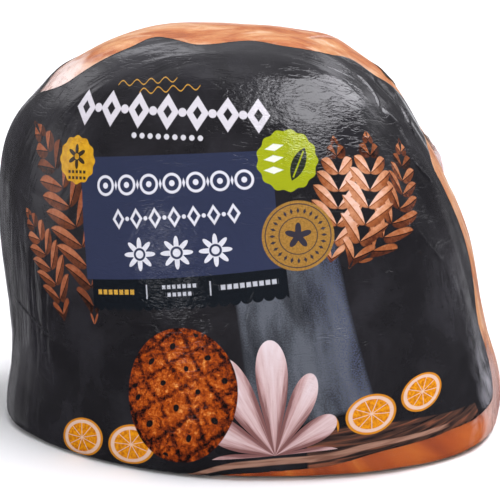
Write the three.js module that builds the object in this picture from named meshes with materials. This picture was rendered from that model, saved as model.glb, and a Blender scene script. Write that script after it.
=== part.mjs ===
// A boneless half leg ham in its shrink bag: a dome of meat that stands on its flat cut face.
//
// Millimetres, +Z up, +X to the pack's right, and the printed front faces -Y. The origin is the
// middle of the pack's box, on the surface that the pack stands on. The bag is sealed and lies on
// the meat all over, so bag and meat are one solid, out to the film.

import * as THREE from "three";

// Driving dimensions, measured from the middle of the cut face.
const height = 151; // cut face to crown
const leftReach = 106.5; // to the pack's left end, just above the foot
const rightReach = 94; // to its right end
const halfDepth = 79; // to the front and to the back
const rightTaper = 25; // how much nearer the middle the right side is at the crown
const leftTaper = 5.5; // and the left side, which is steep

// The rounded edge round the cut face.
const edgeSetback = 4;
const edgeRise = 18;

// The shape of the dome, where 2 is a circle's arc and more is squarer.
const domePower = 2.5;
const leftPlanPower = 1.88;
const rightPlanPower = 2.5;

// The crown is pushed to the left, and the shoulders are fuller than a plain dome's.
const crownLean = 9.3;
const leanPower = 1.5; // above 1, most of the lean is near the crown
const shoulderOut = 100; // how far from the middle the two shares below are measured
const shoulderSlant = 0.053; // rise towards the right, as a share of the height
const shoulderFill = 0.168; // rise on both sides, as a share of the height

// The pinched waist above the left foot.
const waistDepth = 9.3;
const waistHeight = 30.5;
const waistSpread = 37;

// The gathers where the bag is drawn in at the right front shoulder.
const gatherDepth = 2.2;
const gatherPitch = 15; // from one fold's ridge to the next
const gatherCentre = new THREE.Vector3(62, -38, 104);
const gatherReach = 27; // how far from the centre the folds fade out
const gatherSlope = 0.55; // how far a fold moves to the right for each millimetre down

// Broad shallow hollows that the film's pull leaves, each a place, a depth and a reach.
const hollows = [
    { place: new THREE.Vector3(20, -72, 98), depth: 1.6, reach: 34 },
    { place: new THREE.Vector3(-30, 76, 70), depth: 2.2, reach: 38 },
    { place: new THREE.Vector3(52, 62, 48), depth: 1.8, reach: 30 },
];

// Mesh density.
const segmentsAround = 96;
const ringsOnFace = 1;
const ringsOnEdge = 5;
const ringsOnDome = 28;

// 0 well to the left of the middle, 1 well to the right, for a direction's cosine.
function rightness(cosine) {
    const sharpness = 3;
    return 0.5 + 0.5 * Math.tanh(sharpness * cosine);
}

// A bell-shaped weight: 1 at no distance, fading out past the reach.
function bell(distance, reach) {
    return Math.exp(-((distance / reach) ** 2));
}

// The half outline that the lathe turns, with radius and height both from 0 to 1.
function unitProfile() {
    const setback = edgeSetback / rightReach;
    const rise = edgeRise / height;
    const points = [];
    for (let i = 0; i < ringsOnFace; i += 1) {
        points.push(new THREE.Vector2(((1 - setback) * i) / ringsOnFace, 0));
    }
    for (let i = 0; i < ringsOnEdge; i += 1) {
        const turn = (i / ringsOnEdge) * (Math.PI / 2);
        const radius = 1 - setback + setback * Math.sin(turn);
        points.push(new THREE.Vector2(radius, rise * (1 - Math.cos(turn))));
    }
    for (let i = 0; i < ringsOnDome; i += 1) {
        const turn = (i / ringsOnDome) * (Math.PI / 2);
        const radius = Math.cos(turn) ** (2 / domePower);
        const climb = Math.sin(turn) ** (2 / domePower);
        points.push(new THREE.Vector2(radius, rise + (1 - rise) * climb));
    }
    points.push(new THREE.Vector2(0, 1));
    return points;
}

// The plain dome: the place of the unit form's point, from its radius, direction and height.
function domePoint(radius, cosine, sine, climb) {
    const right = rightness(cosine);
    const planPower = THREE.MathUtils.lerp(leftPlanPower, rightPlanPower, right);
    const roundness = (Math.abs(cosine) ** planPower + Math.abs(sine) ** planPower) ** (-1 / planPower);
    const waist = waistDepth * bell(climb * height - waistHeight, waistSpread);
    const left = leftReach - leftTaper * climb - waist;
    const reach = THREE.MathUtils.lerp(left, rightReach - rightTaper * climb, right);
    const x = radius * roundness * cosine * reach - crownLean * climb ** leanPower;
    const y = radius * roundness * sine * halfDepth;
    const out = x / shoulderOut;
    const swell = 1 + shoulderSlant * out + shoulderFill * out ** 2;
    return new THREE.Vector3(x, y, climb * height * swell);
}

// How far the film is pulled in from the plain dome, by the gathers and the hollows.
function pullAt(point) {
    const offset = point.clone().sub(gatherCentre);
    const across = offset.x + gatherSlope * offset.z;
    const ripple = 0.5 - 0.5 * Math.cos((2 * Math.PI * across) / gatherPitch);
    let pull = gatherDepth * ripple * bell(offset.length(), gatherReach);
    for (const hollow of hollows) {
        pull += hollow.depth * bell(point.distanceTo(hollow.place), hollow.reach);
    }
    return pull;
}

// Moves every point of the turned unit form to its place on the pack.
function shapePack(geometry) {
    const places = geometry.attributes.position;
    const middle = new THREE.Vector3(0, 0, height / 2);
    for (let i = 0; i < places.count; i += 1) {
        const x = places.getX(i);
        const y = places.getY(i);
        const radius = Math.hypot(x, y);
        const cosine = radius > 0 ? x / radius : 1;
        const sine = radius > 0 ? y / radius : 0;
        const climb = Math.max(places.getZ(i), 0); // turning the form leaves tiny negative heights
        const point = domePoint(radius, cosine, sine, climb);
        const inwards = middle.clone().sub(point).normalize();
        const lift = THREE.MathUtils.smoothstep(point.z, 0, edgeRise);
        point.addScaledVector(inwards, pullAt(point) * lift);
        places.setXYZ(i, point.x, point.y, point.z);
    }
}

// Puts the middle of the form's box over the origin, with its cut face at height 0.
function centre(geometry) {
    geometry.computeBoundingBox();
    const middle = geometry.boundingBox.getCenter(new THREE.Vector3());
    geometry.translate(-middle.x, -middle.y, -geometry.boundingBox.min.z);
}

function packGeometry() {
    const geometry = new THREE.LatheGeometry(unitProfile(), segmentsAround);
    geometry.rotateX(Math.PI / 2);
    shapePack(geometry);
    centre(geometry);
    geometry.computeVertexNormals();
    return geometry;
}

const printedFilm = new THREE.MeshStandardMaterial({ color: "#25242a", roughness: 0.28, metalness: 0 });

const pack = new THREE.Mesh(packGeometry(), printedFilm);
pack.name = "ham_pack";

const group = new THREE.Group();
group.name = "boneless_ham";
group.add(pack);

export default group;
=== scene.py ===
import bisect
import math

import bmesh
import bpy
from bpy.props import FloatProperty, FloatVectorProperty, IntProperty, PointerProperty
from bpy.types import Operator, Panel, PropertyGroup
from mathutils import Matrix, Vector, noise
from mathutils.bvhtree import BVHTree


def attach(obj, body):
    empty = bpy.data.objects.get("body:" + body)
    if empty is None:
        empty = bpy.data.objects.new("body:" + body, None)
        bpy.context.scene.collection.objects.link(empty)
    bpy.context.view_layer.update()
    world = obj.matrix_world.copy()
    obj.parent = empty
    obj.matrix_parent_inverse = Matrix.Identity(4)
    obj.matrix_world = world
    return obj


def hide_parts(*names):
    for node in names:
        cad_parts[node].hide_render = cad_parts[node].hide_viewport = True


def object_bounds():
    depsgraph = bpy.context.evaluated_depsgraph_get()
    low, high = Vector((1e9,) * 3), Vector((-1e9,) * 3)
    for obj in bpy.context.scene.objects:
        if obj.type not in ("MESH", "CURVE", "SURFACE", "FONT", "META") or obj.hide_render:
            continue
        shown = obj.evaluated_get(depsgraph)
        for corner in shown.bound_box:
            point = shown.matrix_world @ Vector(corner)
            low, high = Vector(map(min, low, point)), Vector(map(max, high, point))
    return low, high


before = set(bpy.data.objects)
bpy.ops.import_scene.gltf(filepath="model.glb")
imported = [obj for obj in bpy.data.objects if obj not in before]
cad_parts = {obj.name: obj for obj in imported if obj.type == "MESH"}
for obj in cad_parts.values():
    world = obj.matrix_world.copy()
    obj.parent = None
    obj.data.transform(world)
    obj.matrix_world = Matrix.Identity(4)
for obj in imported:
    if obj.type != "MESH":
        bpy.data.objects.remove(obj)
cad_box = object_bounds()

bl_info = {
    "name": "Boneless Ham in Printed Film",
    "version": (1, 0, 0),
    "blender": (4, 5, 0),
    "location": "View3D > Sidebar > Ham",
    "description": "A boneless leg ham, its shrink bag with a printed front, and a stage to show it on",
    "category": "Add Mesh",
}

MM = 0.001
TINY = 1e-6

# Half the pack's width, half its depth and its height, in millimetres.
PACK = Vector(cad_box[1]) / MM

# The printed front is laid out flat, in millimetres right and up from the middle of the front.
# Distances from that middle are arcs over an egg shape with these half widths.
PRINT_MIDDLE = Vector((0, 0, round(0.44 * PACK.z)))
PRINT_REACH = Vector((round(PACK.x), round(PACK.y), round(0.53 * PACK.z)))
SIDE_SEAM = 90.0  # degrees from the front, where front and back meet
FRONT_HALF = 2.0  # radians from the front, as far as the folds and hollows reach
FINE_HALF = 2.3  # radians from the front, as far as the skin is fine enough for folds
FOOT = 9 * MM  # height over which what stands out fades towards the flat underside
WAVE = 38 * MM  # length of the meat's broad unevenness
RIPPLE = 15 * MM  # length of its finer unevenness

SHRINK = 0.0013  # how much more the print shrank upwards, for each millimetre to the right
EVEN_AT = Vector((-29, 32))  # where the print keeps its size

# The end of the printed front, going round the pack from under its left foot, over the crown and
# down to the right foot: heading round the pack, and angle from the front, in degrees.
FRONT_END = (
    (-142, 90), (-134, 79), (-122, 58), (-105, 42), (-85, 38), (-60, 40), (-47, 43.5), (-36, 52.5),
    (-30.5, 62), (-28, 68), (-20, 68), (-13, 64.5), (-4, 69), (6, 71.3), (23, 71), (30, 73.5),
    (35, 90), (42, 94), (48, 91), (57, 85), (63, 84.3), (69, 78), (81, 75.8), (90, 78), (103, 77),
    (112.5, 84.5), (119, 80.8), (134, 78.3), (139, 80.5), (142.5, 85), (150, 90),
)
# The end of the printed back, by the same headings.
BACK_END = (
    (-142, 90), (-136, 99), (-128, 116), (-108, 135), (-85, 141), (-60, 139), (-45, 133), (-28, 118),
    (0, 114), (30, 113), (40, 111), (45.5, 106.5), (48.5, 97.5), (52, 96), (55, 107), (60, 115),
    (72, 122), (100, 119), (122, 112), (132, 100), (137.5, 89), (142.5, 85), (150, 90),
)

# Broad swells and hollows of the meat under the film: middle in millimetres, height and reach.
SWELLS = (
    ((84, 0, 68), 1.6, 17),
    ((54, 14, 127), 1.5, 16),
    ((32, 16, 145), 1.0, 9),
    ((17, 20, 148), -1.3, 13),
    ((2, 20, 149), -0.7, 10),
    ((-31, 18, 148), 1.7, 18),
    ((-64, 6, 140), -0.8, 12),
    ((-89, -3, 113), 2.0, 18),
    ((-93, 0, 22), -1.8, 12),
    ((-88, -24, 4), 1.2, 16),
    ((76, 12, 91), -0.9, 7),
    ((84, -45, 5), 2.3, 26),
    ((96, -12, 18), 1.3, 15),
    ((89, -11, 44), -1.5, 10),
    ((20, -76, 4), 1.8, 45),
    ((64, 14, 113), -0.8, 10),
    ((-82, 0, 127), -1.3, 9),
)

# Sharp folds in the film: points along the fold on the flat print, height and half width.
FOLDS = (
    (((51, 95.4), (55, 93.8), (57.8, 91.2), (60.4, 88), (61.8, 84), (62.4, 77)), 0.3, 0.65),
    (((88.5, 98.5), (85.5, 92), (84, 86), (84.5, 79), (86.5, 73), (90, 67)), 0.7, 0.9),
    (((89, 90), (93, 87), (95, 84), (92, 79.5), (88.5, 77)), 0.5, 0.8),
    (((63, 80), (68, 76.5), (72, 74.6), (78, 73.6), (86, 73.4)), 0.5, 3.0),
    (((79, 55), (85, 50), (92, 45)), 0.4, 0.9),
    (((65, 25), (69.5, 29)), 0.3, 0.8),
    (((71, 25.2), (76.2, 18.5), (83.5, 10.9), (87, 8)), 0.25, 1.0),
    (((110, -43.5), (100, -40.5), (91, -38.5)), 0.22, 0.9),
    (((-126, -17), (-103, -21.7), (-78, -28.5)), -0.35, 0.8),
    (((30, 118), (42, 125), (56, 130)), 0.5, 1.0),
)
FOLD_END = 0.25  # share of a fold's length over which it rises at either end

# Hollows where the film is drawn in: middle on the flat print, depth and reach.
HOLLOWS = (
    ((72, 99), 1.0, 3.6),
    ((77, 96), 1.2, 4.0),
    ((82, 92), 0.9, 3.6),
    ((69, 91), 0.6, 4.0),
)

# How strongly the film shows each finish: a base value, and soft spots on the flat print that
# rise above it, each with its middle, reach and strength.
FINISHES = {
    "grain": (0.03, (
        ((6, 79), 19, 0.45), ((30, 75), 18, 0.22), ((22, 62), 20, 0.42), ((-29, 14), 26, 0.5),
        ((20, -22), 36, 0.16),
    )),
    "creases": (0.2, (((36, 72), 24, 0.55), ((-22, 8), 24, 0.5), ((28, -20), 26, 0.5))),
    "pulls": (0.4, (
        ((-30, 104), 36, 1.2), ((30, 108), 32, 1.2), ((-106, 0), 52, 2.0), ((-88, 66), 46, 1.5),
    )),
    "flutes": (0.05, (((-114, -10), 44, 0.7), ((-10, 122), 34, 0.3))),
    "taut": (0.0, (((26, 76), 32, 1.0), ((-22, 8), 28, 0.8), ((86, 82), 18, 0.4))),
    # The painted sheen is a pale reflection painted into the print low on the right.
    "painted_sheen": (0.0, (
        ((94, -59), 11, 0.75), ((97, -48), 13, 0.4), ((99, -36), 15, 0.2), ((96, -8), 34, 0.06),
    )),
    "glow": (0.05, (((-88, 20), 34, 0.15), ((42, 42), 24, 0.42), ((33, 26), 18, 0.3))),
}


def linear(hex_colour):
    """An sRGB hex colour as linear red, green, blue and alpha."""
    parts = [int(hex_colour[start:start + 2], 16) / 255 for start in (1, 3, 5)]
    return (*(part / 12.92 if part <= 0.04045 else ((part + 0.055) / 1.055) ** 2.4 for part in parts), 1)


def smoothstep(start, end, value):
    """0 up to the start, 1 from the end on, and a smooth rise between. The end may be the lower."""
    share = min(max((value - start) / (end - start), 0), 1)
    return share * share * (3 - 2 * share)


def bell(point, middle, reach):
    """1 at a middle, fading out past the reach."""
    return math.exp(-((point - middle).length / reach) ** 2)


# The pack's skin


def print_place(point):
    """A point's place on the flat print in millimetres, and its angle from the front in radians."""
    offset = point / MM - PRINT_MIDDLE
    out = max(math.hypot(offset.x / PRINT_REACH.x, offset.z / PRINT_REACH.z), TINY)
    angle = math.atan2(out, -offset.y / PRINT_REACH.y)
    return Vector((offset.x, offset.z)) * angle / out, angle


def end_angle(ends, heading):
    """The angle from the front at which a printed area ends, smooth through the given points."""
    if not ends[0][0] < heading < ends[-1][0]:
        return SIDE_SEAM
    after = bisect.bisect_left(ends, (heading,))
    low, high = ends[after - 1], ends[after]
    before, beyond = ends[max(after - 2, 0)], ends[min(after + 1, len(ends) - 1)]
    span = high[0] - low[0]
    low_slope = (high[1] - before[1]) / (high[0] - before[0]) * span
    high_slope = (beyond[1] - low[1]) / (beyond[0] - low[0]) * span
    share = (heading - low[0]) / span
    bend = share * (1 - share) * ((1 - share) * low_slope - share * high_slope)
    return low[1] + (high[1] - low[1]) * smoothstep(0, 1, share) + bend


def past_end(ends, point):
    """How far a point lies past the end of a printed area, in millimetres."""
    offset = point / MM - PRINT_MIDDLE
    heading = math.degrees(math.atan2(offset.z, offset.x))
    _, angle = print_place(point)
    return (angle - math.radians(end_angle(ends, heading))) * PRINT_REACH.z


def fold_line(fold):
    """A fold with its corners as vectors, and the middle and reach of the place that it takes up."""
    points, height, width = fold
    corners = [Vector(point) for point in points]
    middle = sum(corners, Vector((0, 0))) / len(corners)
    reach = max((corner - middle).length for corner in corners) + 4 * width
    return corners, middle, reach, height, width


FOLD_LINES = [fold_line(fold) for fold in FOLDS]


def fold_offset(place, corners):
    """How far a place on the flat print lies from a fold's line, and its share along the line."""
    lengths = [(end - start).length for start, end in zip(corners, corners[1:])]
    best, share, walked = math.inf, 0, 0
    for start, end, length in zip(corners, corners[1:], lengths):
        along = min(max((place - start).dot(end - start) / length ** 2, 0), 1)
        away = (place - start.lerp(end, along)).length
        if away < best:
            best, share = away, (walked + along * length) / sum(lengths)
        walked += length
    return best, share


def folded(place):
    """How high the folds stand at a place on the flat print, in millimetres."""
    rise = 0
    for corners, middle, reach, height, width in FOLD_LINES:
        if (place - middle).length < reach:
            away, share = fold_offset(place, corners)
            taper = smoothstep(0, FOLD_END, share) * smoothstep(0, FOLD_END, 1 - share)
            rise += height * taper * math.exp(-((away / width) ** 2))
    return rise


def near_fold(place, widths):
    """Whether a place on the flat print lies within some widths of a fold's line."""
    spare = 0.6  # millimetres past those widths
    for corners, middle, reach, _, width in FOLD_LINES:
        if (place - middle).length < reach:
            if fold_offset(place, corners)[0] < widths * width + spare:
                return True
    return False


def lie(point, place, angle):
    """How far bag and meat stand out from the plain form together, in metres."""
    height = 0.5 * noise.noise(point / WAVE) + 0.2 * noise.noise(point / RIPPLE)
    # Low ridges run round the sides, between the front and the back.
    heading = place.normalized() * 1.5
    ridge = noise.noise(Vector((heading.x, heading.y, place.length / 11)))
    height += 0.55 * ridge * smoothstep(0.75, 1.35, angle) * smoothstep(2.4, 1.9, angle)
    for middle, depth, reach in HOLLOWS:
        height -= depth * bell(place, Vector(middle), reach) * (angle < FRONT_HALF)
    return height * MM


def swollen(point):
    """How far the broad swells lift bag and meat at a point, in metres."""
    return MM * sum(rise * bell(point, Vector(middle) * MM, reach * MM) for middle, rise, reach in SWELLS)


def pack_surface():
    """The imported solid's surface, for rays to be cast at."""
    solid = bmesh.new()
    solid.from_mesh(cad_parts["ham_pack"].data)
    bmesh.ops.remove_doubles(solid, verts=solid.verts, dist=TINY)
    surface = BVHTree.FromBMesh(solid)
    solid.free()
    return surface


def smooth(skin, verts, factor):
    """Moves corners towards the middle of their neighbours, or away from it."""
    bmesh.ops.smooth_vert(
        skin, verts=verts, factor=factor, use_axis_x=True, use_axis_y=True, use_axis_z=True
    )


def refine_folds(skin):
    """Gives a skin small enough faces for the folds."""
    for widths in (2.6, 2.2):
        near = set()
        for vert in skin.verts:
            place, angle = print_place(vert.co)
            if angle < FINE_HALF and near_fold(place, widths):
                near.add(vert)
        edges = [edge for edge in skin.edges if near.issuperset(edge.verts)]
        made = bmesh.ops.subdivide_edges(skin, edges=edges, cuts=1, use_grid_fill=True)
        fresh = [part for part in made["geom_inner"] if isinstance(part, bmesh.types.BMVert)]
        # The new corners lie on flat faces, so they are rounded again.
        for _ in range(8):
            smooth(skin, fresh, 0.5)


def draw_skin(cuts, inset=0.0, with_folds=False):
    """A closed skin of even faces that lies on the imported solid, or an inset inside it."""
    surface = pack_surface()
    skin = bmesh.new()
    bmesh.ops.create_cube(skin, size=2)
    bmesh.ops.subdivide_edges(skin, edges=skin.edges[:], cuts=cuts, use_grid_fill=True)
    middle = PRINT_MIDDLE * MM
    for vert in skin.verts:
        towards = [math.tan(part * math.pi / 4) * reach for part, reach in zip(vert.co, PRINT_REACH)]
        vert.co = surface.ray_cast(middle, Vector(towards))[0]
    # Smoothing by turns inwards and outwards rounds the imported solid's facets and keeps its size.
    for factor in (0.5, -0.53) * 30:
        smooth(skin, skin.verts, factor)
    if with_folds:
        refine_folds(skin)
    skin.normal_update()
    for vert in skin.verts:
        place, angle = print_place(vert.co)
        low = smoothstep(0, FOOT, vert.co.z)
        height = lie(vert.co, place, angle)
        if with_folds and angle < FRONT_HALF:
            height += folded(place) * MM
        lifted = vert.co + vert.normal * (height * low - inset)
        lifted += swollen(vert.co) * vert.normal * Vector((1, 1, low))
        lifted.z = max(lifted.z, inset)
        vert.co = lifted
    skin.normal_update()
    return skin


def cut_along(skin, ends):
    """Cuts a skin's faces along the end of a printed area."""
    past = {vert: past_end(ends, vert.co) for vert in skin.verts}
    snap = 0.12  # a corner nearer the line than this share of its edge counts as on it
    for edge in skin.edges:
        first, last = edge.verts
        if past[first] * past[last] < 0:
            share = past[first] / (past[first] - past[last])
            if share < snap:
                past[first] = 0
            elif share > 1 - snap:
                past[last] = 0
    on_line = [vert for vert in skin.verts if past[vert] == 0]
    for edge in skin.edges[:]:
        first, last = edge.verts
        if past[first] * past[last] < 0:
            share = past[first] / (past[first] - past[last])
            _, vert = bmesh.utils.edge_split(edge, first, share)
            past[vert] = 0
            on_line.append(vert)
    bmesh.ops.connect_verts(skin, verts=on_line)


def take_part(skin, wanted):
    """A copy of a skin that keeps the faces whose middle passes the test."""
    part = skin.copy()
    spare = [face for face in part.faces if not wanted(face.calc_center_median())]
    bmesh.ops.delete(part, geom=spare, context="FACES")
    return part


def finish_at(place, base, spots):
    """The strongest of the soft spots at a place on the flat print, or the base value."""
    share = base
    for middle, reach, strength in spots:
        away = math.dist(place, middle)
        if away < reach:
            share = max(share, strength * smoothstep(reach, 0.3 * reach, away))
    return share


def lay_print(form, facing):
    """Gives each corner its place on the flat print, seen from front or back, and its finishes."""
    finishes = {name: form.verts.layers.float.new(name) for name in FINISHES}
    layer = form.verts.layers.float_vector.new("print")
    margin = form.verts.layers.float.new("margin")
    pleat = form.verts.layers.float.new("pleat")
    for vert in form.verts:
        flat, angle = print_place(vert.co)
        vert[pleat] = folded(flat) * (angle < FRONT_HALF)
        place, _ = print_place(vert.co * Vector((1, facing, 1)))
        # The film shrank more on its right, so the print is drawn together there.
        place.y += SHRINK * (place.x - EVEN_AT.x) * (place.y - EVEN_AT.y) * (facing > 0)
        vert[layer] = place.to_3d()
        for name, share in finishes.items():
            vert[share] = finish_at(place, *FINISHES[name])
        vert[margin] = -past_end(FRONT_END, vert.co)


def wall(piece, thickness, side):
    """Gives a piece of film its wall, to the inside for -1 and to both sides for 0."""
    solid = piece.modifiers.new("Wall", "SOLIDIFY")
    solid.thickness = thickness
    solid.offset = side


def add_piece(name, form, material):
    """Shows a finished form as a piece that rides on the pack and takes its finish from a slot."""
    for face in form.faces:
        face.smooth = True
    mesh = bpy.data.meshes.new(name)
    form.to_mesh(mesh)
    form.free()
    mesh.materials.append(material)
    piece = bpy.data.objects.new(name, mesh)
    bpy.context.scene.collection.objects.link(piece)
    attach(piece, "root")
    return piece


# Materials


def add_node(tree, kind, *values, sockets=None, **settings):
    """Adds a node with its settings. A socket takes a value, or the node that feeds it.

    The values go into the first sockets in order, and further ones into sockets by their names.
    """
    node = tree.nodes.new(kind)
    for name, value in settings.items():
        setattr(node, name, value)
    fed = list(zip(node.inputs, values))
    for name, value in (sockets or {}).items():
        fed.append((next(part for part in node.inputs if part.enabled and part.name == name), value))
    for socket, value in fed:
        if isinstance(value, bpy.types.Node):
            value = next(part for part in value.outputs if part.enabled)
        if isinstance(value, bpy.types.NodeSocket):
            tree.links.new(value, socket)
        else:
            socket.default_value = value
    return node


MATH = "ShaderNodeMath"
VECTOR = "ShaderNodeVectorMath"
MIX = "ShaderNodeMix"
RANGE = "ShaderNodeMapRange"
SPLIT = "ShaderNodeSeparateXYZ"
JOIN = "ShaderNodeCombineXYZ"
NOISE = "ShaderNodeTexNoise"  # its scale counts the waves for each millimetre
RAMP = "ShaderNodeValToRGB"

SOFT = 0.14  # half width of an ink's soft edge, in millimetres


def start_material(name):
    """A material with an empty tree."""
    material = bpy.data.materials.new(name)
    material.use_nodes = True
    material.node_tree.nodes.clear()
    return material, material.node_tree


def laid(tree, name, output="Fac"):
    """What was laid on the corners under a name."""
    return add_node(tree, "ShaderNodeAttribute", attribute_name=name).outputs[output]


def finish_material(tree, sockets):
    """Ends a tree in one principled shader."""
    shader = add_node(tree, "ShaderNodeBsdfPrincipled", sockets=sockets)
    add_node(tree, "ShaderNodeOutputMaterial", sockets={"Surface": shader})


def graded(tree, value, stops):
    """The colour that a value picks between the given places and hex colours."""
    top = max(stops[-1][0], 1)
    if top > 1:
        value = add_node(tree, MATH, value, top, operation="DIVIDE")
    ramp = add_node(tree, RAMP, value)
    elements = ramp.color_ramp.elements
    while len(elements) < len(stops):
        elements.new(0.5)
    for element, (place, colour) in zip(elements, stops):
        element.position = place / top
        element.color = linear(colour)
    return ramp


def object_mm(tree):
    """Object coordinates in millimetres."""
    place = add_node(tree, "ShaderNodeTexCoord").outputs["Object"]
    return add_node(tree, VECTOR, place, (1 / MM, 1 / MM, 1 / MM), operation="MULTIPLY")


def axes(tree, place):
    """How far right and how far up a place is."""
    right_up = (1, 0, 0), (0, 1, 0)
    return [add_node(tree, VECTOR, place, axis, operation="DOT_PRODUCT") for axis in right_up]


def inside(tree, distance, reach=0, soft=SOFT):
    """1 where a distance in millimetres is below a reach, with a soft edge."""
    return add_node(tree, RANGE, distance, reach + soft, reach - soft)


def stretched(tree, place, waves, **settings):
    """Noise that is drawn out, with its waves for each millimetre given for each axis."""
    place = add_node(tree, VECTOR, place, waves, operation="MULTIPLY")
    names = {name.capitalize(): value for name, value in settings.items()}
    return add_node(tree, NOISE, sockets={"Vector": place, "Scale": 1.0, **names})


def overprint(tree, below, ink, mask):
    """Prints an ink, a hex colour or a node, over what is below where the mask is 1."""
    ink = linear(ink) if isinstance(ink, str) else ink
    return add_node(tree, MIX, sockets={"Factor": mask, "A": below, "B": ink}, data_type="RGBA")


def framed(tree, place, middle, turn=0.0):
    """The place seen from a shape's middle and turned with the shape."""
    turned = (0, 0, math.radians(turn))
    return add_node(tree, "ShaderNodeMapping", place, (*middle, 0), turned, vector_type="TEXTURE")


def stroke(tree, off, half_line):
    """A printed line along where an offset is zero."""
    return inside(tree, add_node(tree, MATH, off, operation="ABSOLUTE"), half_line)


def disc(tree, place, middle, radius):
    """A printed disc."""
    away = add_node(tree, VECTOR, place, (*middle, 0), operation="DISTANCE")
    return inside(tree, away, radius)


def ring(tree, place, middle, radius, half_line):
    """A printed ring line."""
    away = add_node(tree, VECTOR, place, (*middle, 0), operation="DISTANCE")
    return stroke(tree, add_node(tree, MATH, away, radius, operation="SUBTRACT"), half_line)


def both(tree, first, second):
    """Where two masks are both 1, or a value as far as a share lets it through."""
    return add_node(tree, MATH, first, second, operation="MULTIPLY")


def either(tree, first, second):
    """Where either mask is 1, or the larger of two values."""
    return add_node(tree, MATH, first, second, operation="MAXIMUM")


def block(tree, local, width, height, middle=(0, 0), soft=SOFT):
    """A printed oblong, in a shape's own frame."""
    moved = add_node(tree, VECTOR, local, (*middle, 0), operation="SUBTRACT")
    size = add_node(tree, VECTOR, moved, operation="ABSOLUTE")
    over = add_node(tree, VECTOR, size, (width / 2, height / 2, 0), operation="SUBTRACT")
    return inside(tree, either(tree, *axes(tree, over)), 0, soft)


def polar(tree, local):
    """The angle and the distance of a place in a shape's own frame."""
    across, up = axes(tree, local)
    angle = add_node(tree, MATH, up, across, operation="ARCTAN2")
    return angle, add_node(tree, VECTOR, local, operation="LENGTH")


def flower(tree, place, middle, radius, rise, petals, turn=0.0):
    """A printed disc whose edge rises and falls, as a wavy badge, a star or a rosette does."""
    angle, away = polar(tree, framed(tree, place, middle, turn))
    turns = add_node(tree, MATH, angle, petals, operation="MULTIPLY")
    wave = add_node(tree, MATH, turns, operation="COSINE")
    edge = add_node(tree, MATH, wave, rise, radius, operation="MULTIPLY_ADD")
    return inside(tree, add_node(tree, MATH, away, edge, operation="SUBTRACT"))


def lobes(tree, angle, count):
    """1 in the middle of each lobe round a circle, and 0 between two lobes."""
    turns = add_node(tree, MATH, angle, count / 2, operation="MULTIPLY")
    wave = add_node(tree, MATH, turns, operation="COSINE")
    return add_node(tree, MATH, wave, operation="ABSOLUTE")


def repeat(tree, local, height, pitch):
    """The place in one motif of a row, whose motifs mirror left and right."""
    across, up = axes(tree, local)
    across = add_node(tree, MATH, across, pitch / 2, operation="PINGPONG")
    up = add_node(tree, MATH, up, height, operation="SUBTRACT")
    return add_node(tree, JOIN, across, up)


def lozenge(tree, cell, width, height, middle=(0, 0)):
    """A printed lozenge in a motif's place."""
    moved = add_node(tree, VECTOR, cell, (*middle, 0), operation="SUBTRACT")
    size = add_node(tree, VECTOR, moved, operation="ABSOLUTE")
    slope = Vector((height, width, 0)).normalized()
    away = add_node(tree, VECTOR, size, slope, operation="DOT_PRODUCT")
    return inside(tree, away, width * height / 2 / math.hypot(width, height))


def outside(tree, mask):
    """Where a mask is 0."""
    return add_node(tree, MATH, 1.0, mask, operation="SUBTRACT")


def leaf_spray(tree, place, colour, bend, turn, sweep, length, pitch, light, tones):
    """Prints a curved spray of leaves on both sides of a stem.

    The stem bends round a middle at a radius, a sweep to both sides of the turn. The tones are
    a ramp from the leaves' dark halves to their light ones, and the light lifts them.
    """
    middle, radius = bend
    angle, away = polar(tree, framed(tree, place, middle, turn))
    along = add_node(tree, MATH, angle, radius, operation="MULTIPLY")
    off = add_node(tree, MATH, away, radius, operation="SUBTRACT")
    side = add_node(tree, MATH, off, operation="ABSOLUTE")
    # The leaves get shorter towards both ends of the stem.
    share = add_node(tree, MATH, along, math.radians(sweep) * radius, operation="DIVIDE")
    fullness = outside(tree, both(tree, share, share))
    reach = add_node(tree, MATH, fullness, length, operation="MULTIPLY")
    part = add_node(tree, MATH, side, reach, operation="DIVIDE")
    # Each leaf leans along the stem and is as wide as the pitch at its middle.
    lean = 0.9
    slid = add_node(tree, MATH, side, -lean, along, operation="MULTIPLY_ADD")
    count = add_node(tree, MATH, slid, pitch, operation="DIVIDE")
    share = add_node(tree, MATH, count, operation="FRACT")
    cell = add_node(tree, MATH, share, 0.5, operation="SUBTRACT")
    width = add_node(tree, MATH, cell, operation="ABSOLUTE")
    lens = both(tree, part, outside(tree, part))
    bulge = add_node(tree, MATH, lens, -1.95, width, operation="MULTIPLY_ADD")
    leaf = inside(tree, add_node(tree, MATH, bulge, pitch, operation="MULTIPLY"), soft=0.25)
    real = add_node(tree, MATH, fullness, 0.02, operation="GREATER_THAN")
    number = add_node(tree, MATH, count, operation="FLOOR")
    odd = add_node(tree, NOISE, sockets={"W": number, "Scale": 7.3, "Detail": 0}, noise_dimensions="1D")
    # One half of each leaf catches the light, and a dark rib parts the halves.
    tone = add_node(tree, RANGE, cell, -0.03, 0.03, 0.0, 0.26)
    tone = add_node(tree, MATH, odd, 0.3, tone, operation="MULTIPLY_ADD")
    rib = add_node(tree, RANGE, width, 0.05, 0.02, 0, -0.3)
    tone = add_node(tree, MATH, tone, rib, operation="ADD")
    mottle = add_node(tree, NOISE, sockets={"Vector": place, "Scale": 0.4, "Detail": 6, "Roughness": 0.7})
    tone = add_node(tree, MATH, mottle, 0.5, tone, operation="MULTIPLY_ADD")
    tone = add_node(tree, MATH, tone, light, operation="ADD")
    return overprint(tree, colour, graded(tree, tone, tones), both(tree, leaf, real))


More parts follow.
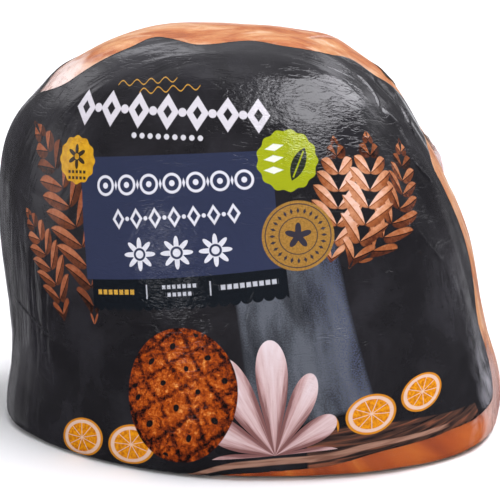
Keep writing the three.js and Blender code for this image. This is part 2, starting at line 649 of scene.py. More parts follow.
def print_drape(tree, place, colour):
    """A slate linen drape with soft folds, right of the middle."""
    cloth = framed(tree, place, (17, -10), 8)
    folds = stretched(tree, cloth, (0.1, 0.03, 1), detail=3)
    weave = add_node(tree, NOISE, sockets={"Vector": place, "Scale": 1.8, "Detail": 2})
    tone = add_node(tree, MATH, weave, 0.3, folds, operation="MULTIPLY_ADD")
    linen = graded(tree, tone, ((0.46, "#242529"), (0.6, "#3F4248"), (0.76, "#5C6068")))
    # Blue threads show towards the right hem.
    across, _ = axes(tree, cloth)
    hem = add_node(tree, RANGE, across, 2, 18)
    thread = add_node(tree, RANGE, weave, 0.46, 0.6)
    linen = overprint(tree, linen, "#474D66", both(tree, hem, thread))
    return overprint(tree, colour, linen, block(tree, cloth, 40, 66, (0, 0), 0.8))


def print_sprays(tree, place, colour):
    """Sprays of leaves: copper on the left, and on the right from dark copper to peach."""
    copper = ((0.3, "#1E120F"), (0.5, "#58301F"), (0.7, "#8A4A2D"), (0.9, "#B4714F"))
    peach = ((0.3, "#1C100D"), (0.46, "#552A1A"), (0.68, "#96552F"), (0.9, "#CB8F6A"), (1.1, "#E3BBA8"))
    light = laid(tree, "glow")
    for bend, turn, sweep, length, pitch, tones in (
        (((-178, -42), 104), 30, 14, 10, 6.5, copper),
        (((-175, -20), 113), 26, 22, 14, 8, copper),
        (((-90, 46), 125), -3, 12, 11, 7, peach),
        (((8, 66), 63), -27, 31, 12, 7.5, peach),
        (((-48, 58), 98), -11, 18, 12, 7.5, peach),
    ):
        colour = leaf_spray(tree, place, colour, bend, turn, sweep, length, pitch, light, tones)
    return colour


def print_board(tree, place, margin, colour):
    """A board of dark wood along the lower end, with a paler front edge."""
    grain = stretched(tree, place, (0.06, 0.8, 1), detail=5, distortion=0.4)
    stops = ((0.36, "#201C1D"), (0.52, "#4A342C"), (0.64, "#7B4A36"), (0.76, "#8E6552"))
    wood = graded(tree, grain, stops)
    board = both(tree, block(tree, place, 64, 40, (50, -50), 0.4), inside(tree, margin, 10, 0.4))
    colour = overprint(tree, colour, wood, board)
    edge = stroke(tree, add_node(tree, MATH, margin, 2.7, operation="SUBTRACT"), 0.9)
    front = both(tree, edge, block(tree, place, 100, 40, (16, -55), 1.5))
    light = graded(tree, grain, ((0.4, "#7A5546"), (0.6, "#A07A68")))
    return overprint(tree, colour, light, front)


def print_citrus(tree, place, colour):
    """Rounds of citrus along the board, seen at a slant, in two pairs."""
    line = framed(tree, place, (0, -47), 5)
    across, up = axes(tree, line)
    half_pitch, slant, wedges = 10, 1.45, 9
    across = add_node(tree, MATH, across, half_pitch, -half_pitch, operation="WRAP")
    up = add_node(tree, MATH, up, slant, operation="MULTIPLY")
    spot = add_node(tree, JOIN, across, up)
    angle, away = polar(tree, spot)
    gap = both(tree, lobes(tree, angle, wedges), away)
    pulp = add_node(tree, NOISE, sockets={"Vector": place, "Scale": 0.9, "Detail": 3})
    flesh = graded(tree, pulp, ((0.35, "#BC6A0E"), (0.6, "#E2930C")))
    ends = both(tree, block(tree, line, 140, 20), outside(tree, block(tree, line, 56, 40)))
    cut = both(tree, ends, add_node(tree, RANGE, gap, 0.3, 0.9))
    for ink, radius, shown in (("#C9811C", 8.8, ends), ("#DDBBA8", 7.9, ends), (flesh, 6.5, cut)):
        colour = overprint(tree, colour, ink, both(tree, disc(tree, spot, (0, 0), radius), shown))
    return colour


def print_palmette(tree, place, colour):
    """A fan of pale pink petals, tallest left of its middle."""
    fan = framed(tree, place, (8, -52))
    across, up = axes(tree, fan)
    angle = add_node(tree, MATH, across, up, operation="ARCTAN2")
    away = add_node(tree, VECTOR, fan, operation="LENGTH")
    lobe = lobes(tree, angle, 11)
    lean = add_node(tree, MATH, angle, 0.25, operation="ADD")
    tall = add_node(tree, MATH, lean, operation="COSINE")
    tall = add_node(tree, MATH, either(tree, tall, 0), 3, operation="POWER")
    tip = add_node(tree, MATH, tall, 17, 22, operation="MULTIPLY_ADD")
    tip = both(tree, tip, add_node(tree, MATH, lobe, 0.35, operation="POWER"))
    mask = inside(tree, add_node(tree, MATH, away, tip, operation="SUBTRACT"))
    upper = add_node(tree, MATH, up, 0, operation="GREATER_THAN")
    # Petals darken towards their sides and the fan's foot.
    out = add_node(tree, MATH, away, 68, operation="DIVIDE")
    tone = add_node(tree, MATH, lobe, 0.8, out, operation="MULTIPLY_ADD")
    veins = add_node(tree, JOIN, angle, away)
    soft = stretched(tree, veins, (16, 0.07, 1), detail=4, roughness=0.6)
    tone = add_node(tree, MATH, soft, 0.9, tone, operation="MULTIPLY_ADD")
    stops = ((1.0, "#7C5452"), (1.25, "#BA9694"), (1.5, "#D3B9B9"), (1.85, "#E0D1D4"))
    return overprint(tree, colour, graded(tree, tone, stops), both(tree, mask, upper))


def print_medallion(tree, place, colour):
    """An amber medallion with a scored lattice and dark studs, shaded as if it bulged."""
    middle = (-24, -31.5)
    oval = framed(tree, place, middle, 12)
    shape = add_node(tree, VECTOR, oval, (1 / 20, 1 / 22, 1), operation="MULTIPLY")
    out = add_node(tree, VECTOR, shape, operation="LENGTH")
    rim = add_node(tree, RANGE, out, 1.006, 0.994)
    # The lattice wavers as if cut by hand.
    waver = add_node(tree, NOISE, sockets={"Vector": place, "Scale": 0.07, "Detail": 1})
    waver = add_node(tree, VECTOR, waver.outputs["Color"], (0.5, 0.5, 0.5), operation="SUBTRACT")
    hand = add_node(tree, VECTOR, waver, (6, 6, 0), place, operation="MULTIPLY_ADD")
    half_step = 4.75
    first, second = (
        add_node(tree, MATH, part, half_step, operation="PINGPONG")
        for part in axes(tree, framed(tree, hand, middle, 34))
    )
    score = add_node(tree, MATH, first, second, operation="MINIMUM")
    sockets = {"Vector": place, "Scale": 0.42, "Detail": 8, "Roughness": 0.8, "Distortion": 0.3}
    glaze = add_node(tree, NOISE, sockets=sockets)
    glaze = add_node(tree, RANGE, glaze, 0.34, 0.66, 0.14, 0.93)
    depth = add_node(tree, RANGE, score, 0.15, 1.2, interpolation_type="SMOOTHSTEP")
    fall = add_node(tree, RANGE, out, 1.05, 0.45, interpolation_type="SMOOTHSTEP")
    tone = add_node(tree, MATH, depth, 0.24, glaze, operation="MULTIPLY_ADD")
    tone = add_node(tree, MATH, fall, 0.2, tone, operation="MULTIPLY_ADD")
    stops = ((0.5, "#1A0D0B"), (0.7, "#561F0D"), (0.9, "#953C0C"), (1.08, "#BA5814"), (1.3, "#E49C50"))
    colour = overprint(tree, colour, graded(tree, tone, stops), rim)
    crossing = add_node(tree, JOIN, first, second)
    studs = disc(tree, crossing, (half_step, half_step), 1.1)
    well_in = add_node(tree, RANGE, out, 0.96, 0.94)
    return overprint(tree, colour, "#1D1514", both(tree, studs, well_in))


def print_panel(tree, place, colour):
    """The leaning navy panel with three rows of ornament, over a dark strip with a scalloped hem."""
    panel = framed(tree, place, (-29, 32.5), 5)
    _, up = axes(tree, panel)
    fall = add_node(tree, RANGE, up, 23, -23)
    mottle = add_node(tree, NOISE, sockets={"Vector": place, "Scale": 0.12, "Detail": 3})
    fall = add_node(tree, MATH, mottle, 0.4, fall, operation="MULTIPLY_ADD")
    navy = graded(tree, fall, ((0.2, "#2B3148"), (1.2, "#2E344D")))
    strip = block(tree, panel, 78, 12, (2, -27.5))
    cell = repeat(tree, panel, -33, 4.2)
    scallop = both(tree, disc(tree, cell, (0, 0), 2.3), block(tree, panel, 78, 12, (2, -31)))
    colour = overprint(tree, colour, "#10151B", either(tree, strip, scallop))
    colour = overprint(tree, colour, navy, block(tree, panel, 79, 46))

    chain = repeat(tree, panel, 12.5, 9.4)
    links = either(tree, ring(tree, chain, (0, 0), 3.3, 0.5), disc(tree, chain, (0, 0), 1.1))
    ties = lozenge(tree, chain, 1.2, 3.4, (4.7, 0))
    beads = repeat(tree, panel, 0, 7.7)
    frets = both(tree, lozenge(tree, beads, 5.2, 7.8), outside(tree, lozenge(tree, beads, 2.8, 4.4)))
    dots = disc(tree, beads, (3.85, 0), 0.8)
    rows = 0
    for motif, length, up in ((links, 65.8, 12.5), (ties, 60, 12.5), (frets, 53.9, 0), (dots, 50, 0)):
        rows = either(tree, rows, both(tree, motif, block(tree, panel, length, 10, (0, up))))
    for across in (-15, 0, 15):
        petals = flower(tree, panel, (across, -13.5), 4.6, 1.8, 8)
        eye = ring(tree, panel, (across, -13.5), 2.0, 0.45)
        rows = either(tree, rows, both(tree, petals, outside(tree, eye)))
    colour = overprint(tree, colour, "#D6D6DE", rows)

    # Small dashes on the dark strip, in three groups with rules between.
    dash = block(tree, repeat(tree, panel, -28, 2.4), 1.7, 1.9)
    gold = both(tree, dash, block(tree, panel, 16.3, 4, (-26.4, -28)))
    colour = overprint(tree, colour, "#C79A3C", gold)
    marks = both(tree, dash, block(tree, panel, 22.2, 4, (26.4, -28)))
    for up, length in ((-26.4, 14.4), (-29.4, 10.6)):
        short = block(tree, repeat(tree, panel, up, 2.0), 1.3, 1.5)
        marks = either(tree, marks, both(tree, short, block(tree, panel, length, 3, (0, up))))
    for across in (-13, 12):
        marks = either(tree, marks, block(tree, panel, 0.5, 5.5, (across, -28)))
    return overprint(tree, colour, "#B9BBC2", marks)


def print_band(tree, place, colour):
    """Over the panel: lozenges and beads, a thin row of dots, and two gold waves."""
    band = framed(tree, place, (-33, 71.5), 1)
    cell = repeat(tree, band, 0, 12.2)
    motif = both(tree, lozenge(tree, cell, 9.4, 14.0), outside(tree, lozenge(tree, cell, 3.6, 5.2)))
    motif = both(tree, motif, block(tree, band, 84, 16))
    beads = both(tree, disc(tree, cell, (6.1, 0), 1.7), block(tree, band, 78, 16))
    colour = overprint(tree, colour, "#CCC8CE", either(tree, motif, beads))
    cell = repeat(tree, band, -9.6, 3.4)
    dots = both(tree, disc(tree, cell, (0, 0), 1.05), block(tree, band, 30.5, 4, (0, -9.6)))
    colour = overprint(tree, colour, "#C9C7CC", dots)
    for middle in ((-43, 83), (-33, 80.5)):
        wave = framed(tree, place, middle, 9)
        across, up = axes(tree, wave)
        height = add_node(tree, MATH, across, operation="SINE")
        off = add_node(tree, MATH, height, -1.2, up, operation="MULTIPLY_ADD")
        line = stroke(tree, off, 0.26)
        colour = overprint(tree, colour, "#B98A3A", both(tree, line, block(tree, wave, 26, 6)))
    return colour


def print_badges(tree, place, colour):
    """A yellow badge with a flower, a lime badge with a leaf and seeds, and a gold seal with a star."""
    mottle = add_node(tree, NOISE, sockets={"Vector": place, "Scale": 0.35, "Detail": 3})
    yellow = graded(tree, mottle, ((0.35, "#B98518"), (0.65, "#D2A024")))
    badge = framed(tree, place, (-72.3, 51), 2)
    colour = overprint(tree, colour, yellow, flower(tree, badge, (0, 0), 8.7, 0.32, 12, -2))
    sprig = flower(tree, badge, (0, 1.2), 3.1, 1.5, 6, 28)
    sprig = both(tree, sprig, outside(tree, disc(tree, badge, (0, 1.2), 1.1)))
    for up in (-4.4, -6.6):
        dash = block(tree, repeat(tree, badge, up, 1.9), 1.2, 1.1)
        sprig = either(tree, sprig, both(tree, dash, block(tree, badge, 9.2, 3, (0, up))))
    colour = overprint(tree, colour, "#33281A", sprig)

    colour = overprint(tree, colour, "#99A217", flower(tree, place, (14.7, 55), 11.8, 0.4, 13))
    leaf = framed(tree, place, (19, 53.6), 68)
    blade = both(tree, disc(tree, leaf, (0, 7.5), 10.2), disc(tree, leaf, (0, -7.5), 10.2))
    blade = both(tree, blade, outside(tree, block(tree, leaf, 11, 0.6)))
    colour = overprint(tree, colour, "#23291E", blade)
    seeds = 0
    for across, up, turn in ((9.6, 60, 14), (9.4, 55.6, 8), (9.4, 51.2, 2)):
        seed = lozenge(tree, framed(tree, place, (across, up), turn), 7.6, 2.8)
        seeds = either(tree, seeds, seed)
    colour = overprint(tree, colour, "#E4E7D6", seeds)

    middle = (18.7, 25.5)
    specks = add_node(tree, NOISE, sockets={"Vector": place, "Scale": 1.3, "Detail": 2})
    gold = graded(tree, specks, ((0.3, "#8A652E"), (0.7, "#A97E3A")))
    colour = overprint(tree, colour, gold, disc(tree, place, middle, 14))
    marks = either(tree, ring(tree, place, middle, 12.7, 0.2), ring(tree, place, middle, 7.4, 0.18))
    marks = either(tree, marks, flower(tree, place, middle, 3.7, 1.6, 5, 90))
    # Small lozenges go round in a ring, whose length is shared out evenly between them.
    angle, away = polar(tree, framed(tree, place, middle))
    radius, seeds = 10, 24
    turned = add_node(tree, MATH, angle, radius, operation="MULTIPLY")
    across = add_node(tree, MATH, turned, math.pi * radius / seeds, operation="PINGPONG")
    cell = add_node(tree, JOIN, across, away)
    marks = either(tree, marks, lozenge(tree, cell, 1.2, 2.4, (0, radius)))
    return overprint(tree, colour, "#33303A", marks)


def crumple(tree, place):
    """The bump of thin film shrunk onto meat: silky pulls, flutes, fine grain and thin creases."""
    grain = stretched(tree, place, (0.51, 1.0625, 1), detail=3, roughness=0.55, distortion=0.3)
    cluster = add_node(tree, NOISE, sockets={"Vector": place, "Scale": 0.16, "Detail": 2})
    cluster = add_node(tree, RANGE, cluster, 0.4, 0.62, 0.45, 1.0)
    height = both(tree, both(tree, grain, cluster), laid(tree, "grain"))
    # Thin creases wander across the shoulder and the middle.
    lines = stretched(tree, place, (0.099, 0.33, 1), detail=3, roughness=0.5, distortion=0.7)
    off = add_node(tree, MATH, lines, 0.5, operation="SUBTRACT")
    off = add_node(tree, MATH, off, operation="ABSOLUTE")
    crease = add_node(tree, RANGE, off, 0.06, 0.0, interpolation_type="SMOOTHSTEP")
    depth = add_node(tree, NOISE, sockets={"Vector": place, "Scale": 0.12, "Detail": 1})
    depth = add_node(tree, RANGE, depth, 0.38, 0.6, 0, -0.22)
    creased = both(tree, both(tree, crease, depth), laid(tree, "creases"))
    height = add_node(tree, MATH, creased, height, operation="ADD")
    # The pulls run round the pack, broad ones at the top and finer flutes at the sides.
    across, up = axes(tree, add_node(tree, VECTOR, place, operation="NORMALIZE"))
    out = add_node(tree, VECTOR, place, operation="LENGTH")
    pulled = add_node(tree, JOIN, across, up, out)
    silk = stretched(tree, pulled, (2.4, 2.4, 0.1), detail=3, roughness=0.45, distortion=0.6)
    height = add_node(tree, MATH, silk, laid(tree, "pulls"), height, operation="MULTIPLY_ADD")
    flutes = stretched(tree, pulled, (2.2, 2.2, 0.24), detail=2, roughness=0.45, distortion=0.5)
    height = add_node(tree, MATH, flutes, laid(tree, "flutes"), height, operation="MULTIPLY_ADD")
    return add_node(tree, "ShaderNodeBump", sockets={"Height": height, "Distance": 1.0 * MM})


def satin(tree, place, film):
    """The film's roughness: sharp gloss where it is stretched over the shoulder, satin elsewhere."""
    smear = add_node(tree, NOISE, sockets={"Vector": place, "Scale": 0.06, "Detail": 3})
    soft = add_node(tree, RANGE, smear, 0.3, 0.7, 0.03, 0.1)
    rough = both(tree, soft, outside(tree, laid(tree, "taut")))
    return add_node(tree, MATH, rough, film.film_roughness, operation="ADD")


def backdrop(tree, place):
    """The print's ground: nearly black, clouded like dark slate, with painted shade that darkens it
    slightly towards the right.
    """
    sockets = {"Vector": place, "Scale": 0.035, "Detail": 6, "Roughness": 0.6, "Distortion": 0.5}
    cloud = add_node(tree, NOISE, sockets=sockets)
    # Painted shade: darker towards the right, which evens out the stronger light from that side.
    across = add_node(tree, VECTOR, place, (-0.0008, 0, 0), operation="DOT_PRODUCT")
    cloud = add_node(tree, MATH, cloud, across, operation="ADD")
    return graded(tree, cloud, ((0.36, "#18171A"), (0.5, "#1F1E21"), (0.64, "#28272B")))


def finish_film(tree, place, colour, film):
    """Ends a printed film's tree. Its gloss and its crumple are the same on front and back."""
    finish_material(tree, {
        "Base Color": colour, "Roughness": satin(tree, place, film), "IOR": 1.45,
        "Normal": crumple(tree, place),
    })


def printed_front(film):
    """Polyethylene shrink film printed on the inside: glossy, nearly black, with a design."""
    material, tree = start_material("Printed shrink film, front")
    place = laid(tree, "print", "Vector")
    margin = laid(tree, "margin")
    colour = print_drape(tree, place, backdrop(tree, place))
    colour = print_sprays(tree, place, colour)
    colour = print_board(tree, place, margin, colour)
    for layer in (print_citrus, print_palmette, print_medallion, print_panel, print_band, print_badges):
        colour = layer(tree, place, colour)
    # Painted reflection: pale grey streaks low on the right stand in for a sheen on the film there.
    painted_sheen = stretched(tree, place, (0.34, 0.1, 1), detail=2, roughness=0.5, distortion=0.5)
    painted_sheen = add_node(tree, RANGE, painted_sheen, 0.28, 0.72)
    colour = overprint(tree, colour, "#9C9AA2", both(tree, painted_sheen, laid(tree, "painted_sheen")))
    finish_film(tree, place, colour, film)
    return material


def printed_back(film):
    """The same film with its plain dark back print."""
    material, tree = start_material("Printed shrink film, back")
    place = laid(tree, "print", "Vector")
    finish_film(tree, place, backdrop(tree, place), film)
    return material


def soft_spot(tree, place, middle, noisy, ragged, ends, strength):
    """A spot round a middle with a ragged rim: none at the first distance, full at the second."""
    away = add_node(tree, VECTOR, place, middle, operation="DISTANCE")
    away = add_node(tree, MATH, noisy, ragged, away, operation="MULTIPLY_ADD")
    return add_node(tree, RANGE, away, *ends, 0, strength, interpolation_type="SMOOTHSTEP")


def clear_film(film):
    """The film without print: clear with a sharp gloss, and milky where it is pleated and in soft spots.
    The milkiness partly paints in the pleats' highlights and a pale reflection low on the right.
    """
    material, tree = start_material("Clear shrink film")
    place = object_mm(tree)
    streaks = stretched(tree, place, (0.3, 0.3, 0.08), detail=4, roughness=0.6, distortion=0.6)
    # Milky along the pleats, which also paints in their highlights.
    milk_and_highlight = add_node(tree, RANGE, laid(tree, "pleat"), 0.1, 0.5, film.clear_opacity, 0.35)
    # Milky soft spots: low on the right a painted reflection, and on the left shoulder.
    for middle, reach, strength in (((93, -30, 22), 20, 0.5), ((-74, -8, 131), 9, 0.3)):
        ends = (reach + 20, 0.3 * reach + 16)
        milk_and_highlight = either(tree, milk_and_highlight, soft_spot(tree, place, middle, streaks, 40, ends, strength))
    tint = graded(tree, streaks, ((0.35, "#D9AC9A"), (0.65, "#E3D2D2")))
    finish_material(tree, {
        "Base Color": tint, "Roughness": film.film_roughness * 0.7, "IOR": 1.5, "Alpha": milk_and_highlight,
    })
    return material


def gathered_film(film):
    """Clear film gathered into several plies: smoky at its upper end, milky pink below."""
    material, tree = start_material("Gathered shrink film")
    place = object_mm(tree)
    folds = add_node(tree, NOISE, sockets={"Vector": place, "Scale": 0.35, "Detail": 3, "Distortion": 1.0})
    _, _, up = add_node(tree, SPLIT, place).outputs
    low = add_node(tree, RANGE, up, 107, 99)
    tone = add_node(tree, MATH, folds, 0.6, low, operation="MULTIPLY_ADD")
    tint = graded(tree, tone, ((0.3, "#4E3B34"), (0.7, "#A2786A"), (1.25, "#D9BFC0")))
    finish_material(tree, {
        "Base Color": tint, "Roughness": film.film_roughness, "IOR": 1.5, "Alpha": 0.55,
    })
    return material


def round_leg(tree, place):
    """A place along and across the way round the leg, over its crown, in millimetres."""
    offset = add_node(tree, VECTOR, place, PRINT_MIDDLE, operation="SUBTRACT")
    right, back, up = add_node(tree, SPLIT, offset).outputs
    heading = add_node(tree, MATH, right, up, operation="ARCTAN2")
    radius = 85
    along = add_node(tree, MATH, heading, radius, operation="MULTIPLY")
    return add_node(tree, JOIN, along, back)


def cut_face(tree, place):
    """The lean cut face underneath: pink muscle in a rim of fat."""
    sockets = {"Vector": place, "Scale": 0.05, "Detail": 6, "Roughness": 0.6, "Distortion": 1.2}
    muscle = add_node(tree, NOISE, sockets=sockets)
    stops = ((0.36, "#B9676A"), (0.5, "#CF8885"), (0.6, "#DC9F98"), (0.68, "#EBD2C6"))
    spread = add_node(tree, VECTOR, place, (1 / 92, 1 / 74, 0), operation="MULTIPLY")
    out = add_node(tree, VECTOR, spread, operation="LENGTH")
    rim = add_node(tree, RANGE, out, 0.9, 0.97)
    return overprint(tree, graded(tree, muscle, stops), "#EBD3C2", rim)


def smoked_rind(meat):
    """Skinned, smoked leg: orange tan with pale fat showing through, wet under the film."""
    material, tree = start_material("Smoked ham surface")
    place = object_mm(tree)
    _, _, up = add_node(tree, SPLIT, place).outputs
    # Muscle and fat run round the leg, from one side over the crown to the other.
    around = round_leg(tree, place)
    grain = stretched(tree, around, (0.05, 0.085, 1), detail=6, roughness=0.68, distortion=0.5)
    stops = ((0.32, "#944A1C"), (0.43, "#B2622C"), (0.52, "#C47E48"), (0.62, "#D39A68"), (0.74, "#E6C6A6"))
    rind = graded(tree, grain, stops)
    streaks = stretched(tree, around, (0.06, 0.14, 1), detail=4, roughness=0.6, distortion=0.8)
    fat = add_node(tree, RANGE, streaks, 0.54, 0.68, 0, 0.6)
    rind = overprint(tree, rind, "#E6C4A4", fat)
    # Painted shade: the rind turns darker and a deeper orange towards the foot, where the pack stands in
    # shade.
    low = add_node(tree, RANGE, up, 26, 10, interpolation_type="SMOOTHSTEP")
    shaded_foot_bands = stretched(tree, around, (0.08, 0.03, 1), detail=4, roughness=0.5, distortion=0.4)
    stops = ((0.34, "#8E3402"), (0.48, "#AA4A06"), (0.6, "#BC5A0E"), (0.72, "#CC782A"))
    rind = overprint(tree, rind, graded(tree, shaded_foot_bands, stops), low)
    # Smoke settled in brown specks and blotches.
    specks = stretched(tree, around, (0.16, 0.3, 1), detail=5, roughness=0.75, distortion=0.8)
    specks = add_node(tree, RANGE, specks, 0.6, 0.74, 0, 0.45)
    rind = overprint(tree, rind, "#9C5A2C", both(tree, specks, outside(tree, low)))
    # Fat lies bare on the left shoulder and low on the right.
    fine = add_node(tree, NOISE, sockets={"Vector": place, "Scale": 0.12, "Detail": 4, "Distortion": 0.5})
    spots = ((-72, -9, 132), 19, 1.0), ((100, 6, 30), 14, 0.5), ((96, -38, 12), 20, 0.45)
    for middle, reach, strength in spots:
        bare = soft_spot(tree, place, middle, fine, 26, (reach + 13, reach), strength)
        rind = overprint(tree, rind, "#F0DCD4", bare)

    flat = add_node(tree, RANGE, up, 1.4, 0.9)
    colour = overprint(tree, rind, cut_face(tree, place), flat)
    pleats = stretched(tree, around, (0.07, 0.16, 1), detail=3, roughness=0.45, distortion=0.6)
    tight = add_node(tree, "ShaderNodeBump", sockets={"Height": pleats, "Distance": 0.8 * MM})
    pores = add_node(tree, NOISE, sockets={"Vector": place, "Scale": 0.5, "Detail": 3})
    sockets = {"Height": pores, "Strength": 0.6, "Distance": 0.25 * MM}
    bump = add_node(tree, "ShaderNodeBump", sockets=sockets)
    finish_material(tree, {
        "Base Color": colour, "Roughness": 0.42, "IOR": 1.42, "Normal": bump,
        "Coat Weight": meat.wet_gloss, "Coat Roughness": 0.16, "Coat IOR": 1.45, "Coat Normal": tight,
    })
    return material


# The stage


def add_floor(scene):
    """A round floor of paper that the pack stands on."""
    form = bmesh.new()
    bmesh.ops.create_circle(form, cap_ends=True, segments=96, radius=4)
    bmesh.ops.translate(form, verts=form.verts, vec=(0, 0, -0.2 * MM))
    mesh = bpy.data.meshes.new("floor")
    form.to_mesh(mesh)
    form.free()
    # Matt paper scatters all its light and has no gloss.
    material, tree = start_material("Matt white paper")
    paper = (*scene.ham_stage.floor_colour, 1)
    finish_material(tree, {"Base Color": paper, "Roughness": 0.9, "Specular IOR Level": 0.0})
    mesh.materials.append(material)
    floor = bpy.data.objects.new("floor", mesh)
    scene.collection.objects.link(floor)
    floor.visible_glossy = False  # the real table is darker than the paper, so gloss skips it


def add_camera(scene):
    """A camera in front that looks down at the pack."""
    stage = scene.ham_stage
    target = Vector((0.2, 0, 63.4)) * MM
    rise = stage.camera_rise
    camera = bpy.data.objects.new("camera", bpy.data.cameras.new("camera"))
    camera.data.lens = stage.camera_lens
    camera.data.clip_end = 20
    camera.location = target + stage.camera_distance * Vector((0, -math.cos(rise), math.sin(rise)))
    camera.rotation_euler = (math.pi / 2 - rise, 0, 0)
    scene.collection.objects.link(camera)
    scene.camera = camera


def add_lights(scene):
    """Two soft fills that light the colours. What the gloss mirrors is painted in the world."""
    # Each fill: direction from the pack, distance, width and height, and power in watts.
    for name, direction, distance, size, power in (
        ("overhead_fill", (0, -0.1, 1), 2.6, (3.2, 3.2), 22),
        ("front_fill", (-0.3, -0.9, 0.4), 2.2, (1.6, 1.2), 8),
    ):
        lamp = bpy.data.lights.new(name, "AREA")
        lamp.shape = "RECTANGLE"
        lamp.size, lamp.size_y = size
        lamp.energy = power
        light = bpy.data.objects.new(name, lamp)
        towards = Vector(direction).normalized()
        light.location = PRINT_MIDDLE * MM + towards * distance
        light.rotation_euler = towards.to_track_quat("Z", "Y").to_euler()
        light.visible_glossy = False
        light.visible_camera = False
        scene.collection.objects.link(light)


def painted_studio():
    """A dim studio with a bright wedge of a softbox up on the right and dim soft screens."""
    world = bpy.data.worlds.new("studio")
    world.use_nodes = True
    tree = world.node_tree
    sky = add_node(tree, "ShaderNodeTexCoord").outputs["Generated"]
    _, back, up = add_node(tree, SPLIT, sky).outputs
    behind = add_node(tree, RANGE, back, -0.1, 0.5, interpolation_type="SMOOTHSTEP")
    above = add_node(tree, RANGE, up, 0.1, 0.7, interpolation_type="SMOOTHSTEP")
    table = add_node(tree, RANGE, up, -0.35, -0.05, 0.04, 0.18)
    wall_glow = both(tree, behind, above)
    glow = add_node(tree, MATH, wall_glow, 0.55, table, operation="MULTIPLY_ADD")
    # Each screen: direction, half angle and soft rim in degrees, and strength.
    screens = (
        ((-0.62, 0.49, 0.62), 3, 14, 1.6),
        ((-0.22, 0.71, 0.67), 4, 8, 2.0),
        ((0.43, 0.68, 0.60), 4, 8, 1.6),
        ((-0.53, -0.84, 0.12), 3, 9, 4.5),
        ((-0.02, 0.12, 0.99), 2, 12, 0.7),
        ((0.75, 0.64, -0.18), 1, 14, 0.8),
        ((-0.60, 0.74, -0.31), 4, 12, 0.35),
        ((-0.82, 0.48, -0.34), 3, 10, 0.3),
        ((-0.96, 0.02, 0.22), 4, 20, 0.9),
        ((0.68, 0.64, 0.36), 3, 7, 1.8),
        ((0.0, 0.97, -0.24), 10, 14, 1.0),
    )
    for direction, half, rim, strength in screens:
        towards = Vector(direction).normalized()
        facing = add_node(tree, VECTOR, sky, towards, operation="DOT_PRODUCT")
        angle = add_node(tree, MATH, facing, operation="ARCCOSINE")
        ends = math.radians(half + rim), math.radians(half)
        screen = add_node(tree, RANGE, angle, *ends, 0, strength, interpolation_type="SMOOTHSTEP")
        glow = add_node(tree, MATH, glow, screen, operation="ADD")
    # The softbox lies inside these planes, each with a soft rim.
    key = add_node(tree, RANGE, back, -0.4, 0.6, 8.4, 6.3)
    for normal, start, rim in (
        ((-0.72, 0.34, 0.62), 0, 0.012),
        ((0.77, -0.62, -0.10), 0, 0.025),
        ((0.42, -0.85, 0.46), 0, 0.02),
        ((0.81, 0.58, 0.09), -0.12, 0.2),
    ):
        off = add_node(tree, VECTOR, sky, normal, operation="DOT_PRODUCT")
        within = add_node(tree, RANGE, off, start, start + rim, interpolation_type="SMOOTHSTEP")
        key = both(tree, key, within)
    glow = add_node(tree, MATH, glow, key, operation="ADD")
    tree.links.new(glow.outputs[0], tree.nodes["Background"].inputs["Strength"])
    tree.nodes["Background"].inputs["Color"].default_value = linear("#F7F6FC")
    return world


# Settings


class HamMeatSettings(PropertyGroup):
    """The meat's sizes and finish."""

    inset: FloatProperty(
        name="Inset", description="Gap between the outside of the film and the meat",
        default=0.45 * MM, min=0.1 * MM, subtype="DISTANCE",
    )
    cuts: IntProperty(
        name="Cuts", description="Cuts across each side of the meat's mesh", default=90, min=20,
    )
    wet_gloss: FloatProperty(
        name="Wet gloss", description="Gloss of the juice and film on the meat",
        default=0.2, min=0, max=1, subtype="FACTOR",
    )


class HamFilmSettings(PropertyGroup):
    """The film's sizes and finish."""

    thickness: FloatProperty(
        name="Thickness", description="Thickness of the film's wall",
        default=0.12 * MM, min=0.02 * MM, subtype="DISTANCE",
    )
    cuts: IntProperty(
        name="Cuts", description="Cuts across each side of the film's mesh", default=118, min=20,
    )
    film_roughness: FloatProperty(
        name="Roughness", description="Roughness of the film's gloss",
        default=0.06, min=0, max=1, subtype="FACTOR",
    )
    clear_opacity: FloatProperty(
        name="Clear opacity", description="How much the clear film hides",
        default=0.005, min=0, max=1, subtype="FACTOR",
    )


class HamStageSettings(PropertyGroup):
    """Floor, lights and camera."""

    floor_colour: FloatVectorProperty(
        name="Floor", description="Colour of the floor",
        default=linear("#F4F4F4")[:3], size=3, subtype="COLOR",
    )
    camera_rise: FloatProperty(
        name="Camera rise", description="Angle of the camera above the floor",
        default=math.radians(17), subtype="ANGLE",
    )
    camera_distance: FloatProperty(
        name="Camera distance", description="From the camera to the middle of the pack",
        default=0.95, subtype="DISTANCE",
    )
    camera_lens: FloatProperty(
        name="Lens", description="Focal length of the camera", default=177.7, subtype="DISTANCE_CAMERA",
    )


# Operators


class HAM_OT_meat(Operator):
    """Add the ham: smoked leg meat with a flat cut face"""

    bl_idname = "ham.add_meat"
    bl_label = "Ham Meat"

    def execute(self, context):
        meat = context.scene.ham_meat
        form = draw_skin(meat.cuts, inset=meat.inset)
        add_piece("ham_meat", form, smoked_rind(meat))
        return {"FINISHED"}


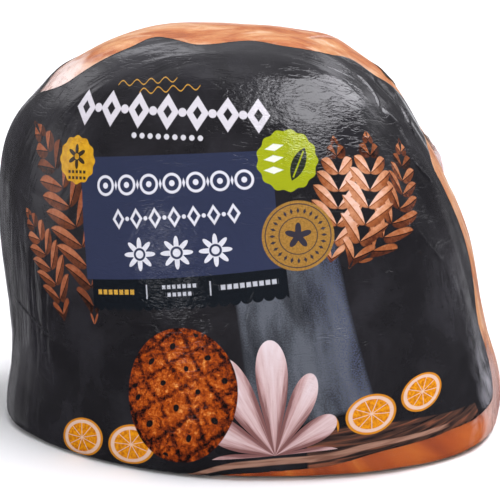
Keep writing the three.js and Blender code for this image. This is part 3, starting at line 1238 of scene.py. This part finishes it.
class HAM_OT_film(Operator):
    """Add the shrink bag: printed front, printed back and the clear film between them"""

    bl_idname = "ham.add_film"
    bl_label = "Shrink Bag"

    def execute(self, context):
        film = context.scene.ham_film
        skin = draw_skin(film.cuts, with_folds=True)
        cut_along(skin, FRONT_END)
        cut_along(skin, BACK_END)

        def on_front(point):
            return past_end(FRONT_END, point) < 0

        def on_back(point):
            return past_end(BACK_END, point) > 0 and not on_front(point)

        def between(point):
            return not on_front(point) and not on_back(point)

        parts = (
            ("film_front", on_front, 1, printed_front(film), "printed_film"),
            ("film_back", on_back, -1, printed_back(film), "printed_film"),
            ("film_clear", between, -1, clear_film(film), "clear_film"),
        )
        for name, wanted, facing, material, finish in parts:
            form = take_part(skin, wanted)
            if not form.faces:
                raise RuntimeError(f"{name} has no faces")
            lay_print(form, facing)
            piece = add_piece(name, form, material)
            wall(piece, film.thickness, -1)
            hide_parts("ham_pack")
        skin.free()
        return {"FINISHED"}


class HAM_OT_ear(Operator):
    """Add the small ear of gathered film on the right shoulder"""

    bl_idname = "ham.add_ear"
    bl_label = "Film Ear"

    def execute(self, context):
        film = context.scene.ham_film
        surface = pack_surface()
        ear = bmesh.new()
        bmesh.ops.create_grid(ear, x_segments=36, y_segments=10, size=0.5)
        top, foot = Vector((67, 2, 112)) * MM, Vector((76, 2, 94)) * MM
        for vert in ear.verts:
            along, out = vert.co.x + 0.5, vert.co.y + 0.5
            root, normal, _, _ = surface.find_nearest(top.lerp(foot, along))
            fullness = math.sin(math.pi * along ** 1.3) ** 0.7
            ruffle = noise.noise(Vector((along * 7, out * 2, 0))) * out
            rise = -0.6 + 1.9 * out * fullness + 0.3 * ruffle
            back = 1.0 * out * fullness + 1.2 * ruffle
            vert.co = root + normal * (rise * MM) + Vector((0, back * MM, 0))
        bmesh.ops.recalc_face_normals(ear, faces=ear.faces)
        piece = add_piece("film_ear", ear, gathered_film(film))
        wall(piece, film.thickness * 2, 0)
        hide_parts("ham_pack")
        return {"FINISHED"}


class HAM_OT_stage(Operator):
    """Add the floor, the studio lights and the camera"""

    bl_idname = "ham.add_stage"
    bl_label = "Stage"

    def execute(self, context):
        scene = context.scene
        add_floor(scene)
        add_camera(scene)
        add_lights(scene)
        scene.world = painted_studio()
        scene.view_settings.view_transform = "Standard"
        return {"FINISHED"}


class HAM_PT_panel(Panel):
    """Lists the ham's pieces"""

    bl_idname = "HAM_PT_panel"
    bl_label = "Boneless Ham"
    bl_space_type = "VIEW_3D"
    bl_region_type = "UI"
    bl_category = "Ham"

    def draw(self, context):
        scene = context.scene
        for settings, operators in (
            (scene.ham_meat, (HAM_OT_meat,)),
            (scene.ham_film, (HAM_OT_film, HAM_OT_ear)),
            (scene.ham_stage, (HAM_OT_stage,)),
        ):
            column = self.layout.column()
            for name in settings.__annotations__:
                column.prop(settings, name)
            for operator in operators:
                column.operator(operator.bl_idname)


CLASSES = (
    HamMeatSettings, HamFilmSettings, HamStageSettings,
    HAM_OT_meat, HAM_OT_film, HAM_OT_ear, HAM_OT_stage, HAM_PT_panel,
)


def register():
    for part in CLASSES:
        bpy.utils.register_class(part)
    bpy.types.Scene.ham_meat = PointerProperty(type=HamMeatSettings)
    bpy.types.Scene.ham_film = PointerProperty(type=HamFilmSettings)
    bpy.types.Scene.ham_stage = PointerProperty(type=HamStageSettings)


def unregister():
    del bpy.types.Scene.ham_meat
    del bpy.types.Scene.ham_film
    del bpy.types.Scene.ham_stage
    for part in reversed(CLASSES):
        bpy.utils.unregister_class(part)


def main():
    register()
    bpy.ops.ham.add_meat()
    bpy.ops.ham.add_film()
    bpy.ops.ham.add_ear()
    bpy.ops.ham.add_stage()


if __name__ == "__main__":
    main()
